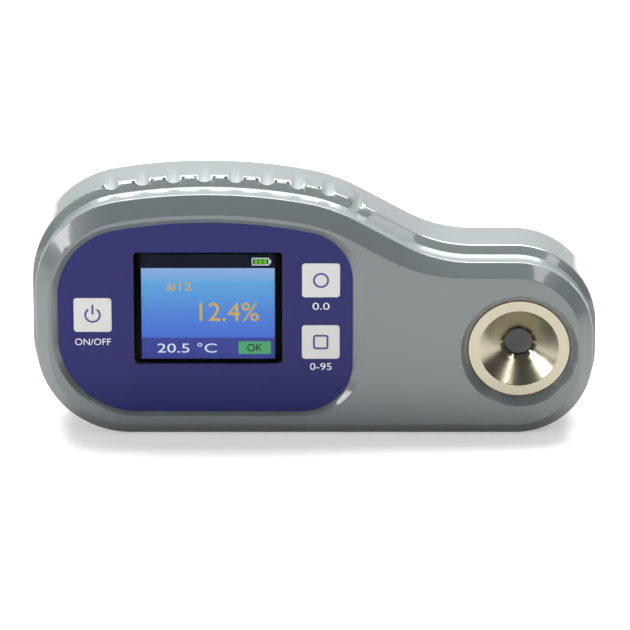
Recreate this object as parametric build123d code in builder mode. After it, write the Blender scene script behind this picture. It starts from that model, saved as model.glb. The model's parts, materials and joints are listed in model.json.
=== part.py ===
from build123d import *
from math import asin, atan2, cos, degrees, radians, sin, sqrt, tan
import os

# A handheld digital refractometer that stands on its long straight edge.
# Millimetres. +X runs from the keys to the sample well, the face with the screen looks along
# -Y, and +Z is up. The origin is the middle of the bottom of the instrument's box.
# Every depth is measured from the flat front face towards the back.

# Overall size: three runs along X, and two heights
head_span = 68.3  # left end of the case to the right edge of the film
neck_run = 35.4  # right edge of the film to the axis of the well
tail_reach = 16.7  # axis of the well to the right end of the case
tail_height = 39.1
head_rise = 15.25  # top of the head above the top of the tail
rear_stand_out = 1.0  # the rear shell is larger than the front shell by this at its ends and below
rear_crown_out = 1.9  # and by this along its top
front_lift = 0.3  # gap between the front shell and the surface it stands on
wall = 2.0
rear_round = 8.0  # rounding of the rear edge
rear_edge_round = 0.3  # and of its front edge

# Outline of the front shell: a tall head with the screen, a sloping waist and a round tail
crown_shift = 0.35  # the highest point of the head lies this far right of the film's middle
crown_radius = 115.0
shoulder_radius = 35.0
shoulder_start = 10.5  # degrees from level, where the crown meets the shoulder
waist_slope = 29.0  # degrees from level, the steepest stretch
waist_radius = 30.0
head_low_radius = 20.0
head_high_radius = 20.5
tail_high_radius = 16.8
tail_low_radius = 16.4

# Bevel round the front face
bevel_depth = 2.0
bevel_side = 2.7
bevel_crown = 3.9
bevel_tail = 2.85
bevel_bottom = 2.5
crease_round = 0.4  # the edges of the face and of the bevel are rounded by this

# Seam between the shells, with the lip and the seal inside it
seam_depth = 6.8
seam_gap = 0.15
lip_thickness = 1.0
lip_reach = 1.6
lip_gap = 0.1
rim_thickness = 1.35
seal_inset = 0.7
seal_width = 0.8
seal_groove = 0.5

# Grip flutes along the top front edge of the rear shell
flute_count = 9
flute_first_x = -42.9
flute_pitch = 6.55
flute_radius = 2.5
flute_depth = 0.95
flute_run = 5.8  # distance over which a flute runs out into the top

# Blue film in its recess, with the window and the three keys
film_sink = 1.0
film_thickness = 0.3
face_wall = 3.0
film_inset = 5.8  # left end of the case to the left edge of the film
film_bottom = 5.55
film_drop = 6.0  # the film's top edge lies this far under the crown
film_low_radius = 17.0
film_high_radius = 15.0
film_right_radius = 11.0
film_gap = 0.05
recess_left = 1.4  # widths of the sloping wall round the recess
recess_crown = 1.3
recess_right = 2.6
recess_bottom = 0.8

# Window and display
window_shift = 0.55  # the window's middle lies this far right of the film's middle
window_rise = 2.1  # and this far above it
border_side = 1.65
border_top = 0.75
window_corner = 0.8
pane_thickness = 1.1
border_thickness = 0.1
lit_width = 28.3
lit_height = 23.7
sight_margin = 0.3
module_gap = 0.1
lcd_thickness = 1.4
lcd_margin = 1.6  # cell outside the lit area
backlight_thickness = 1.8
tray_thickness = 0.25
carrier_height = 2.05
carrier_wall = 2.0

# Keys, with their plungers and switches
key_width = 8.0
key_height = 7.65
key_corner = 0.7
power_inset = 7.3  # key's middle from the film's left edge
zero_inset = 6.74  # and these two from its right edge
read_inset = 6.8
power_rise = 0.6  # above the film's middle
zero_rise = 8.45
read_rise = -5.55
key_travel = 0.3
key_gap = 0.06
pocket_spare = 0.1
plunger_radius = 2.0
plunger_gap = 0.08
flange_radius = 3.0
flange_thickness = 0.6
flange_gap = 0.15
switch_size = 6.0
switch_height = 3.5
switch_corner = 0.5
stem_radius = 1.5
stem_gap = 0.05
stem_stand = 0.8
stem_sunk = 0.6

# Main board
board_thickness = 1.6
board_inset = 3.4
board_short = 19.5  # the board ends this far before the axis of the well
board_post_radius = 2.1
left_post_inset = 13.2  # from the left end of the case
left_post_z = 17.6
top_post_shift = 10.4  # left of the window's middle
top_post_drop = 7.15  # under the top of the head
end_post_inset = 10.0  # from the board's end
high_post_drop = 18.35  # under the top of the head
low_post_z = 12.0
chip_shift = 10.6  # right of the window's middle
chip_drop = 15.35  # under the top of the head
chip_size = 9.0
chip_height = 1.2
chip_corner = 0.3
socket_width = 12.0
socket_height = 3.0
socket_depth = 1.3
socket_shift = 6.6  # right of the window's middle
socket_z = 10.4
ribbon_thickness = 0.2
ribbon_width = 10.0
display_ribbon_bend = 1.6

# Screws
head_screw_inset = 13.7  # from the left end of the case
head_screw_drop = 12.35  # under the top of the head
head_screw_z = 8.5
neck_screw_inset = 14.5  # before the axis of the well
neck_screw_drop = 5.7  # under the top of the tail
neck_screw_z = 6.2
case_screw_radius = 1.1
case_screw_length = 9.0
case_head_radius = 2.0
case_head_height = 1.4
case_post_radius = 2.6
case_sleeve_radius = 3.2
case_seat_depth = 16.0
case_seat_thickness = 2.0
counterbore_radius = 2.3
small_screw_radius = 0.9
small_screw_length = 4.0
small_head_radius = 1.6
small_head_height = 1.0
bore_gap = 0.03  # round a screw in its pilot hole
clearance_gap = 0.15  # round a screw in a plain hole
post_gap = 0.3
drive_depth = 0.6
drive_width = 0.5
drive_share = 0.6  # of the head's diameter

# Battery bay, cell, contacts and door
cell_inset = 43.7  # middle of the cell from the left end of the case
cell_z = 24.0
cell_radius = 5.25
cell_length = 44.5
nub_radius = 1.9
nub_length = 1.0
cell_gap = 0.35
bay_wall = 1.2
board_gap = 0.775  # between the board and the floor of the battery bay
spring_room = 4.5
contact_thickness = 0.3
contact_width = 8.0
contact_tail_width = 2.2
contact_tail_gap = 0.2
spring_wire = 0.5
spring_radius = 3.2
spring_turns = 3.5
spring_gap = 0.05
door_thickness = 1.4
door_corner = 3.0
door_gap = 0.15
door_edge_round = 0.4
door_lip = 2.6
gasket_thickness = 0.4
gasket_width = 1.1
door_screw_land = 3.2
door_screw_radius = 1.0
door_screw_length = 7.0
door_head_radius = 2.0
door_head_height = 0.9
door_bore_gap = 0.08
door_boss_radius = 2.6
frame_depth = 2.0

# Sample well: steel dish, nut, seals and prism
sink_radius = 12.5  # outer edge of the sloping ring round the dish
dish_face = 1.9
dish_radius = 10.85
dish_rim = 1.5
dish_gap = 0.05
dish_edge = 0.2
cone_radius = 8.5
cone_end = 5.9
cone_hole_radius = 2.975
cone_lip = 0.2
dish_neck_radius = 9.4
dish_back = 7.6
neck_gap = 0.15
prism_pocket_radius = 7.0
dish_seal_thickness = 0.3
dish_land = 1.2
dish_boss_radius = 13.4
nut_radius = 12.0
nut_height = 2.2
nut_slots = 4
nut_slot_width = 2.0
nut_slot_depth = 1.0
prism_seal_thickness = 0.3
prism_seal_inner = 3.1
prism_seal_outer = 3.9
prism_width = 11.0
prism_height = 8.0
prism_shoulder = 1.2
prism_depth = 8.0
prism_angle = 60.0  # degrees between its top and its side faces

# Optics behind the prism
optics_width = 21.0
optics_height = 20.0
optics_front = 7.8
optics_back = 20.5
optics_gap = 0.1
light_path = 6.5  # from a side face of the prism to the board on that side
ear_width = 7.0
ear_reach = 14.1
ear_spare = 1.9
ear_front = 9.8
ear_thickness = 2.0
ear_post_radius = 1.8
led_radius = 2.5
led_length = 5.6
led_flange = 0.4
led_flange_height = 1.0
lens_radius = 3.0
lens_thickness = 1.6
lens_crown = 0.5
lens_from_prism = 1.5
small_board_thickness = 1.0
small_board_width = 9.4
small_board_height = 13.0
line_sensor_width = 3.0
line_sensor_height = 10.0
line_sensor_thickness = 1.5
probe_radius = 1.0
probe_length = 1.2
probe_gap = 0.15
probe_angle = 135.0
plug_size = 3.0
plug_height = 1.2
plug_spread = 5.0
small_ribbon_width = 9.0
ribbon_fold = 0.7
ribbon_rise = 1.6
ribbon_behind = 0.5
ribbon_drop = 2.2
ribbon_corner = 2.6

# Worked out from the sizes above: lengths and heights
length = head_span + neck_run + tail_reach
left_end = -length / 2
front_half = length / 2 - rear_stand_out
well_x = left_end + head_span + neck_run
well_z = tail_height / 2
head_height = tail_height + head_rise
film_left = left_end + film_inset
film_right = left_end + head_span
film_x = (film_left + film_right) / 2
film_z = (film_bottom + head_height - film_drop) / 2
crown_x = film_x + crown_shift
crown_z = head_height - crown_radius
window_x = film_x + window_shift
window_z = film_z + window_rise
window_width = lit_width + 2 * border_side
window_height = lit_height + 2 * border_top
key_places = {
    "power": (film_left + power_inset, film_z + power_rise),
    "zero": (film_right - zero_inset, film_z + zero_rise),
    "read": (film_right - read_inset, film_z + read_rise),
}
board_end = well_x - board_short
board_post_places = [
    (left_end + left_post_inset, left_post_z),
    (window_x - top_post_shift, head_height - top_post_drop),
    (board_end - end_post_inset, head_height - high_post_drop),
    (board_end - end_post_inset, low_post_z),
]
chip_x = window_x + chip_shift
chip_z = head_height - chip_drop
socket_x = window_x + socket_shift
case_screw_places = [
    (left_end + head_screw_inset, head_height - head_screw_drop),
    (left_end + head_screw_inset, head_screw_z),
    (well_x - neck_screw_inset, tail_height - neck_screw_drop),
    (well_x - neck_screw_inset, neck_screw_z),
]
cell_x = left_end + cell_inset

# Depths, stacked up from the front face to the battery door
recess_floor = film_sink + film_thickness
lcd_front = face_wall + module_gap
backlight_front = lcd_front + lcd_thickness
carrier_front = backlight_front + backlight_thickness + tray_thickness
board_front = carrier_front + carrier_height
board_back = board_front + board_thickness
bay_floor = board_back + board_gap + bay_wall
cell_depth = bay_floor + cell_gap / 2 + cell_radius
ledge_depth = cell_depth + cell_radius + cell_gap
thickness = ledge_depth + gasket_thickness + door_thickness
front_y = -thickness / 2
rim_front = seam_depth + seam_gap
bay_left = cell_x - cell_length / 2 - spring_room - contact_thickness
bay_right = cell_x + cell_length / 2 + contact_thickness
bay_half = cell_radius + cell_gap
door_screw_x = (bay_left - bay_wall - door_boss_radius, bay_right + bay_wall + door_boss_radius)
door_width = door_screw_x[1] - door_screw_x[0] + 2 * door_screw_land
door_x = (door_screw_x[0] + door_screw_x[1]) / 2
door_height = 2 * (bay_half + door_lip)
dish_seat = dish_face + dish_rim + dish_seal_thickness
nut_front = dish_seat + dish_land
prism_front = cone_end + cone_lip + prism_seal_thickness
prism_mid = prism_front + prism_shoulder
prism_back = prism_front + prism_depth
prism_run = (prism_back - prism_mid) / tan(radians(prism_angle))
case_post_end = case_seat_depth - case_seat_thickness


def at(depth):
    """The upright plane at a depth, looking at the viewer, with X and Z as its own axes."""
    return Plane(origin=(0, front_y + depth, 0), x_dir=(1, 0, 0), z_dir=(0, -1, 0))


def plate(face, front, back, mode=Mode.ADD):
    """Give a flat profile its thickness, from its front depth to its back depth."""
    with BuildSketch(at(back), mode=Mode.PRIVATE) as profile:
        add(face)
    extrude(profile.sketch, amount=back - front, mode=mode)


def oblong(x, z, width, height, corner=0.0):
    """A rectangle about a point, with rounded corners where a radius is given."""
    with BuildSketch(mode=Mode.PRIVATE) as face:
        with Locations((x, z)):
            if corner > 0:
                RectangleRounded(width, height, corner)
            else:
                Rectangle(width, height)
    return face.sketch


def discs(places, radius):
    """Equal discs about each of the given points."""
    with BuildSketch(mode=Mode.PRIVATE) as face:
        with Locations(*places):
            Circle(radius)
    return face.sketch


def turn(centre, radius, start, end):
    """An arc from one direction to another, both in degrees."""
    return CenterArc(centre, radius, start, end - start)


def shoulder_centre(crown):
    """Centre of the shoulder arc for a crown moved outwards."""
    reach = crown_radius - shoulder_radius
    start = radians(shoulder_start)
    return crown_x + reach * sin(start), crown_z + reach * cos(start)


def case_face(side=0.0, crown=0.0, tail=0.0, bottom=0.0):
    """The outline of the front shell, each stretch moved outwards by its own amount."""
    left, right = -front_half - side, front_half + side
    floor, tail_top = front_lift - bottom, tail_height + tail
    low, high = head_low_radius + side, head_high_radius + side
    tail_high, tail_low = tail_high_radius + side, tail_low_radius + side
    reach = crown_radius + crown
    high_x = left + high
    high_z = crown_z + sqrt((reach - high) ** 2 - (high_x - crown_x) ** 2)
    high_end = degrees(atan2(high_z - crown_z, high_x - crown_x))
    slope = radians(waist_slope)
    shoulder_x, shoulder_z = shoulder_centre(crown)
    shoulder = shoulder_radius + crown
    waist = waist_radius - tail
    fall = shoulder_z + shoulder * cos(slope) - tail_top - waist * (1 - cos(slope))
    waist_x = shoulder_x + (shoulder + waist) * sin(slope) + fall / tan(slope)
    with BuildSketch(mode=Mode.PRIVATE) as face:
        with BuildLine():
            low_arc = turn((left + low, floor + low), low, 270, 180)
            high_arc = turn((high_x, high_z), high, 180, high_end)
            turn((crown_x, crown_z), reach, high_end, 90 - shoulder_start)
            shoulder_arc = turn(
                (shoulder_x, shoulder_z), shoulder, 90 - shoulder_start, 90 - waist_slope
            )
            waist_arc = turn((waist_x, tail_top + waist), waist, 270 - waist_slope, 270)
            tail_arc = turn((right - tail_high, tail_top - tail_high), tail_high, 90, 0)
            end_arc = turn((right - tail_low, floor + tail_low), tail_low, 0, -90)
            Line(low_arc @ 1, high_arc @ 0)
            Line(shoulder_arc @ 1, waist_arc @ 0)
            Line(waist_arc @ 1, tail_arc @ 0)
            Line(tail_arc @ 1, end_arc @ 0)
            Line(end_arc @ 1, low_arc @ 0)
        make_face()
    return face.sketch


def case_grown(grow):
    """The outline of the front shell moved outwards by one amount all round."""
    return case_face(grow, grow, grow, grow)


def rear_face(grow=0.0):
    """The outline of the rear shell moved outwards by one amount all round."""
    side, crown = rear_stand_out + grow, rear_crown_out + grow
    return case_face(side, crown, crown, side)


def case_ring(outer, inner):
    """The band between two such outlines."""
    with BuildSketch(mode=Mode.PRIVATE) as face:
        add(case_grown(outer))
        add(case_grown(inner), mode=Mode.SUBTRACT)
    return face.sketch


def film_face(left=0.0, crown=0.0, right=0.0, bottom=0.0):
    """The outline of the blue film, each side moved outwards by its own amount."""
    west, east = film_left - left, film_right + right
    floor, reach = film_bottom - bottom, crown_radius - film_drop + crown
    low, high, round_right = film_low_radius + left, film_high_radius + left, film_right_radius + right
    high_x, right_x = west + high, east - round_right
    high_z = crown_z + sqrt((reach - high) ** 2 - (high_x - crown_x) ** 2)
    right_z = crown_z + sqrt((reach - round_right) ** 2 - (right_x - crown_x) ** 2)
    high_end = degrees(atan2(high_z - crown_z, high_x - crown_x))
    right_start = degrees(atan2(right_z - crown_z, right_x - crown_x))
    with BuildSketch(mode=Mode.PRIVATE) as face:
        with BuildLine():
            low_arc = turn((west + low, floor + low), low, 270, 180)
            high_arc = turn((high_x, high_z), high, 180, high_end)
            turn((crown_x, crown_z), reach, high_end, right_start)
            right_arc = turn((right_x, right_z), round_right, right_start, 0)
            last_arc = turn((right_x, floor + round_right), round_right, 0, -90)
            Line(low_arc @ 1, high_arc @ 0)
            Line(right_arc @ 1, last_arc @ 0)
            Line(last_arc @ 1, low_arc @ 0)
        make_face()
    return face.sketch


def between(first, first_depth, second, second_depth, mode=Mode.ADD):
    """A straight-sided body from one outline to another of the same make-up."""
    with BuildSketch(at(first_depth), mode=Mode.PRIVATE) as one:
        add(first)
    with BuildSketch(at(second_depth), mode=Mode.PRIVATE) as other:
        add(second)
    loft([one.sketch, other.sketch], ruled=True, mode=mode)


def turned(x, z, points, mode=Mode.ADD):
    """Turn a section of radius and depth pairs about the line through x and z."""
    section = Plane(origin=(x, front_y, z), x_dir=(1, 0, 0), z_dir=(0, 0, 1))
    with BuildSketch(section, mode=Mode.PRIVATE) as profile:
        with BuildLine():
            Polyline(*points, close=True)
        make_face()
    revolve(profile.sketch, axis=Axis((x, 0, z), (0, 1, 0)), mode=mode)


def screws(places, seat, head_radius, head_height, radius, length_below):
    """Cross-headed screws put in from behind, their heads on the seat depth."""
    with BuildPart() as group:
        plate(discs(places, head_radius), seat, seat + head_height)
        plate(discs(places, radius), seat - length_below, seat)
        for x, z in places:
            for turned_by in (0, 90):
                drive = drive_share * 2 * head_radius
                width, height = (drive, drive_width) if turned_by == 0 else (drive_width, drive)
                slot = oblong(x, z, width, height)
                plate(slot, seat + head_height - drive_depth, seat + head_height, Mode.SUBTRACT)
    return group


def flute_plane(number):
    """Where one grip flute lies: its own axis leans up towards the back."""
    x = flute_first_x + number * flute_pitch
    swell = rear_crown_out
    start_x = crown_x + (crown_radius + swell) * sin(radians(shoulder_start))
    centre, radius = (crown_x, crown_z), crown_radius + swell
    if x > start_x:
        centre, radius = shoulder_centre(swell), shoulder_radius + swell
    lean = asin((x - centre[0]) / radius)
    out = Vector(sin(lean), 0, cos(lean))
    top = Vector(x, 0, centre[1] + radius * cos(lean))
    rise = atan2(flute_depth, flute_run)
    along = Vector(0, cos(rise), 0) + out * sin(rise)
    start = top + Vector(0, front_y + rim_front, 0) + out * (flute_radius - flute_depth)
    return Plane(origin=start, x_dir=Vector(cos(lean), 0, -sin(lean)), z_dir=along)


# Front shell: bevelled face with the recess, the window, the key holes and the well
with BuildPart() as front_shell:
    bevelled = case_face(-bevel_side, -bevel_crown, -bevel_tail, -bevel_bottom)
    between(bevelled, 0, case_face(), bevel_depth)
    plate(case_face(), bevel_depth, seam_depth)
    plate(case_grown(-wall), face_wall, seam_depth, Mode.SUBTRACT)
    groove = case_ring(-seal_inset, -seal_inset - seal_width)
    plate(groove, seam_depth - seal_groove, seam_depth, Mode.SUBTRACT)
    plate(discs([(well_x, well_z)], dish_boss_radius), face_wall, nut_front)
    plate(discs(case_screw_places, case_post_radius), face_wall, case_post_end)
    plate(discs(board_post_places, board_post_radius), face_wall, board_front)
    ear_places = [(well_x, well_z + ear_reach), (well_x, well_z - ear_reach)]
    plate(discs(ear_places, ear_post_radius), face_wall, ear_front)
    between(
        film_face(recess_left, recess_crown, recess_right, recess_bottom), 0,
        film_face(film_gap, film_gap, film_gap, film_gap), film_sink, Mode.SUBTRACT,
    )
    plate(film_face(film_gap, film_gap, film_gap, film_gap), film_sink, recess_floor, Mode.SUBTRACT)
    pane_seat = film_sink + pane_thickness + border_thickness
    pane = oblong(window_x, window_z, window_width, window_height, window_corner)
    plate(pane, recess_floor, pane_seat, Mode.SUBTRACT)
    sight = oblong(
        window_x, window_z, lit_width + 2 * sight_margin, lit_height + 2 * sight_margin, window_corner
    )
    plate(sight, recess_floor, face_wall, Mode.SUBTRACT)
    for key_x, key_z in key_places.values():
        pocket = oblong(key_x, key_z, key_width + 2 * key_gap, key_height + 2 * key_gap, key_corner)
        pocket_floor = recess_floor + key_travel + pocket_spare
        plate(pocket, recess_floor, pocket_floor, Mode.SUBTRACT)
    holes = discs(key_places.values(), plunger_radius + plunger_gap)
    plate(holes, recess_floor, face_wall, Mode.SUBTRACT)
    turned(well_x, well_z, [
        (0, 0), (sink_radius, 0), (dish_radius + dish_gap, dish_face),
        (dish_radius + dish_gap, dish_seat), (dish_neck_radius + neck_gap, dish_seat),
        (dish_neck_radius + neck_gap, nut_front), (0, nut_front),
    ], Mode.SUBTRACT)
    pilots = discs(case_screw_places, case_screw_radius + bore_gap)
    plate(pilots, case_seat_depth - case_screw_length, case_post_end, Mode.SUBTRACT)
    small_pilots = discs(board_post_places, small_screw_radius + bore_gap)
    plate(small_pilots, board_back - small_screw_length, board_front, Mode.SUBTRACT)
    ear_pilots = discs(ear_places, small_screw_radius + bore_gap)
    ear_back = ear_front + ear_thickness
    plate(ear_pilots, ear_back - small_screw_length, ear_front, Mode.SUBTRACT)
    for crease_y in (front_y, front_y + bevel_depth):
        creases = front_shell.edges().filter_by_position(Axis.Y, crease_y - 0.01, crease_y + 0.01)
        fillet(creases, crease_round)

# Rear shell: it stands out round the front shell, with grip flutes, battery bay and screw sleeves
with BuildPart() as rear_body:
    plate(rear_face(), rim_front, thickness)
    fillet(rear_body.edges().group_by(Axis.Y)[-1], rear_round)
    fillet(rear_body.edges().group_by(Axis.Y)[0], rear_edge_round)
with BuildPart() as rear_hollow:
    plate(rear_face(-wall), rim_front, thickness - wall)
    fillet(rear_hollow.edges().group_by(Axis.Y)[-1], rear_round - wall)
with BuildPart() as rear_shell:
    add(rear_body.part)
    add(rear_hollow.part, mode=Mode.SUBTRACT)
    lip_outer = -wall - lip_gap
    plate(case_ring(-seal_inset, lip_outer - lip_thickness), rim_front, rim_front + rim_thickness)
    plate(case_ring(lip_outer, lip_outer - lip_thickness), seam_depth - lip_reach, rim_front)
    with Locations(*[flute_plane(number).location for number in range(flute_count)]):
        Cylinder(
            flute_radius, 3 * flute_run, align=(Align.CENTER, Align.CENTER, Align.CENTER),
            mode=Mode.SUBTRACT,
        )
    bay_length = bay_right - bay_left
    bay_middle = (bay_left + bay_right) / 2
    tub = oblong(bay_middle, cell_z, bay_length + 2 * bay_wall, 2 * (bay_half + bay_wall))
    plate(tub, bay_floor - bay_wall, thickness - wall)
    frame = oblong(door_x, cell_z, door_width, door_height, door_corner)
    plate(frame, ledge_depth - frame_depth, thickness - wall)
    door_screw_places = [(x, cell_z) for x in door_screw_x]
    door_boss_end = ledge_depth - door_screw_length - bay_wall
    plate(discs(door_screw_places, door_boss_radius), door_boss_end, ledge_depth)
    plate(discs(case_screw_places, case_sleeve_radius), case_post_end, thickness - wall)
    rebate = oblong(
        door_x, cell_z, door_width + 2 * door_gap, door_height + 2 * door_gap, door_corner + door_gap
    )
    plate(rebate, ledge_depth, thickness, Mode.SUBTRACT)
    bay = oblong(bay_middle, cell_z, bay_length, 2 * bay_half)
    plate(bay, bay_floor, ledge_depth, Mode.SUBTRACT)
    screw_wells = discs(case_screw_places, counterbore_radius)
    plate(screw_wells, case_seat_depth, thickness, Mode.SUBTRACT)
    through = discs(case_screw_places, case_screw_radius + clearance_gap)
    plate(through, case_post_end, case_seat_depth, Mode.SUBTRACT)
    door_bores = discs(door_screw_places, door_screw_radius + door_bore_gap)
    plate(door_bores, ledge_depth - door_screw_length, ledge_depth, Mode.SUBTRACT)
    tail_slots = [bay_left + contact_thickness / 2, bay_right - contact_thickness / 2]
    for slot_x in tail_slots:
        slot = oblong(
            slot_x, cell_z, contact_thickness + 2 * contact_tail_gap,
            contact_tail_width + 2 * contact_tail_gap,
        )
        plate(slot, bay_floor - bay_wall, bay_floor, Mode.SUBTRACT)
    split(bisect_by=Plane.XY, keep=Keep.TOP)

# Rubber seal in its groove between the shells
with BuildPart() as case_seal:
    ring = case_ring(-seal_inset, -seal_inset - seal_width)
    plate(ring, seam_depth - seal_groove, rim_front)

# Printed film with openings for the window and the keys
with BuildPart() as overlay_film:
    plate(film_face(), film_sink, recess_floor)
    opening = oblong(
        window_x, window_z, window_width + 2 * film_gap, window_height + 2 * film_gap, window_corner
    )
    plate(opening, film_sink, recess_floor, Mode.SUBTRACT)
    for key_x, key_z in key_places.values():
        gap = oblong(key_x, key_z, key_width + 2 * key_gap, key_height + 2 * key_gap, key_corner)
        plate(gap, film_sink, recess_floor, Mode.SUBTRACT)

# Clear pane and the black border printed behind it
with BuildPart() as window_pane:
    clear = oblong(window_x, window_z, window_width, window_height, window_corner)
    plate(clear, film_sink, film_sink + pane_thickness)
with BuildPart() as window_border:
    plate(clear, film_sink + pane_thickness, pane_seat)
    plate(oblong(window_x, window_z, lit_width, lit_height), film_sink, pane_seat, Mode.SUBTRACT)

# Display module: cell, backlight, metal tray and the frame that carries it on the board
lcd_width = lit_width + 2 * lcd_margin
lcd_height = lit_height + 2 * lcd_margin
tray_width = lcd_width + 2 * tray_thickness
tray_height = lcd_height + 2 * tray_thickness
with BuildPart() as display_cell:
    plate(oblong(window_x, window_z, lcd_width, lcd_height), lcd_front, backlight_front)
with BuildPart() as display_backlight:
    cell_back = backlight_front + backlight_thickness
    plate(oblong(window_x, window_z, lcd_width, lcd_height), backlight_front, cell_back)
with BuildPart() as display_tray:
    plate(oblong(window_x, window_z, tray_width, tray_height), lcd_front, carrier_front)
    plate(oblong(window_x, window_z, lcd_width, lcd_height), lcd_front, cell_back, Mode.SUBTRACT)
    ribbon_notch_z = window_z - tray_height / 2
    notch = oblong(socket_x, ribbon_notch_z, ribbon_width + 1, 2 * tray_thickness)
    plate(notch, lcd_front, backlight_front, Mode.SUBTRACT)
with BuildPart() as display_carrier:
    plate(oblong(window_x, window_z, tray_width, tray_height), carrier_front, board_front)
    hollow = oblong(
        window_x, window_z, tray_width - 2 * carrier_wall, tray_height - 2 * carrier_wall
    )
    plate(hollow, carrier_front, board_front, Mode.SUBTRACT)

# Display ribbon, folded from the cell's lower edge down to the socket on the board
with BuildPart() as display_ribbon:
    edge_z = window_z - lcd_height / 2
    cell_mid = front_y + (lcd_front + backlight_front) / 2
    socket_top = front_y + board_front - socket_depth
    side_plane = Plane(origin=(socket_x - ribbon_width / 2, 0, 0), x_dir=(0, 1, 0), z_dir=(1, 0, 0))
    with BuildSketch(side_plane):
        with BuildLine():
            FilletPolyline(
                (cell_mid, edge_z), (cell_mid, socket_z), (socket_top, socket_z),
                radius=display_ribbon_bend / 2,
            )
        trace(line_width=ribbon_thickness)
    extrude(amount=ribbon_width)

# Main board with its chip and sockets
with BuildPart() as main_board:
    with BuildSketch(at(board_back)):
        add(case_grown(-board_inset))
        with Locations((board_end - length, head_height / 2)):
            Rectangle(2 * length, 2 * head_height, mode=Mode.INTERSECT)
        with Locations(*case_screw_places):
            Circle(case_post_radius + post_gap, mode=Mode.SUBTRACT)
        with Locations(*board_post_places):
            Circle(small_screw_radius + clearance_gap, mode=Mode.SUBTRACT)
    extrude(amount=board_thickness)
with BuildPart() as microcontroller:
    plate(oblong(chip_x, chip_z, chip_size, chip_size, chip_corner), board_back, board_back + chip_height)
with BuildPart() as display_socket:
    place = oblong(socket_x, socket_z, socket_width, socket_height)
    plate(place, board_front - socket_depth, board_front)
with BuildPart() as board_screws:
    add(screws(
        board_post_places, board_back, small_head_radius, small_head_height, small_screw_radius,
        small_screw_length,
    ).part)

# Three switches on the board
plunger_back = board_front - switch_height - stem_stand
with BuildPart() as key_switches:
    for key_x, key_z in key_places.values():
        body = oblong(key_x, key_z, switch_size, switch_size, switch_corner)
        plate(body, board_front - switch_height, board_front)
    bores = discs(key_places.values(), stem_radius + stem_gap)
    bore_end = board_front - switch_height + stem_sunk + key_travel + pocket_spare
    plate(bores, board_front - switch_height, bore_end, Mode.SUBTRACT)


def key_pad(x, z):
    """The white printed patch that the finger presses."""
    with BuildPart() as pad:
        plate(oblong(x, z, key_width, key_height, key_corner), film_sink, recess_floor)
    return pad


def key_plunger(x, z):
    """The peg behind a pad, with the flange that keeps it in."""
    with BuildPart() as plunger:
        flange_front = face_wall + flange_gap
        plate(discs([(x, z)], plunger_radius), recess_floor, plunger_back)
        plate(discs([(x, z)], flange_radius), flange_front, flange_front + flange_thickness)
    return plunger


def switch_stem(x, z):
    """The moving stem of a switch."""
    with BuildPart() as stem:
        plate(discs([(x, z)], stem_radius), plunger_back, board_front - switch_height + stem_sunk)
    return stem


key_pieces = {}
for key_name, (key_x, key_z) in key_places.items():
    key_pieces[key_name + "_key"] = key_pad(key_x, key_z)
    key_pieces[key_name + "_plunger"] = key_plunger(key_x, key_z)
    key_pieces[key_name + "_switch_stem"] = switch_stem(key_x, key_z)

# Screws that hold the shells together
with BuildPart() as case_screws:
    add(screws(
        case_screw_places, case_seat_depth, case_head_radius, case_head_height, case_screw_radius,
        case_screw_length,
    ).part)

# Battery cell, lying along X
cell_axis_plane = Plane(origin=(cell_x - cell_length / 2, front_y + cell_depth, cell_z), z_dir=(1, 0, 0))
with BuildPart() as battery_cell:
    with BuildSketch(cell_axis_plane):
        Circle(cell_radius)
    extrude(amount=cell_length - nub_length)
    fillet(battery_cell.edges(), contact_thickness)
    with BuildSketch(cell_axis_plane.offset(cell_length - nub_length)):
        Circle(nub_radius)
    extrude(amount=nub_length)


def contact_strip(x):
    """A contact plate with its tail through the floor of the bay to the board."""
    back = cell_depth + contact_width / 2
    plate(oblong(x, cell_z, contact_thickness, contact_width), bay_floor, back)
    plate(oblong(x, cell_z, contact_thickness, contact_tail_width), board_back, bay_floor)


with BuildPart() as positive_contact:
    contact_strip(bay_right - contact_thickness / 2)
with BuildPart() as negative_contact:
    contact_strip(bay_left + contact_thickness / 2)
with BuildPart() as battery_spring:
    spring_height = spring_room - spring_wire - 2 * spring_gap
    spring_x = bay_left + contact_thickness + spring_wire / 2 + spring_gap
    with BuildLine() as coil:
        Helix(
            pitch=spring_height / spring_turns, height=spring_height, radius=spring_radius,
            center=(spring_x, front_y + cell_depth, cell_z), direction=(1, 0, 0),
        )
    with BuildSketch(Plane(origin=coil.line @ 0, z_dir=coil.line % 0)):
        Circle(spring_wire / 2)
    sweep(path=coil.line, is_frenet=True)

# Battery door with its gasket and captive screws
with BuildPart() as battery_door:
    panel = oblong(door_x, cell_z, door_width, door_height, door_corner)
    plate(panel, thickness - door_thickness, thickness)
    fillet(battery_door.edges().group_by(Axis.Y)[-1], door_edge_round)
    plate(discs(door_screw_places, door_head_radius + clearance_gap),
          thickness - door_head_height, thickness, Mode.SUBTRACT)
    plate(discs(door_screw_places, door_screw_radius + clearance_gap),
          thickness - door_thickness, thickness, Mode.SUBTRACT)
with BuildPart() as door_gasket:
    land = oblong(
        bay_middle, cell_z, bay_length + 2 * gasket_width, 2 * (bay_half + gasket_width), gasket_width
    )
    plate(land, ledge_depth, thickness - door_thickness)
    plate(bay, ledge_depth, thickness - door_thickness, Mode.SUBTRACT)
with BuildPart() as door_screws:
    add(screws(
        door_screw_places, thickness - door_head_height, door_head_radius, door_head_height,
        door_screw_radius, door_screw_length,
    ).part)

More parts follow.
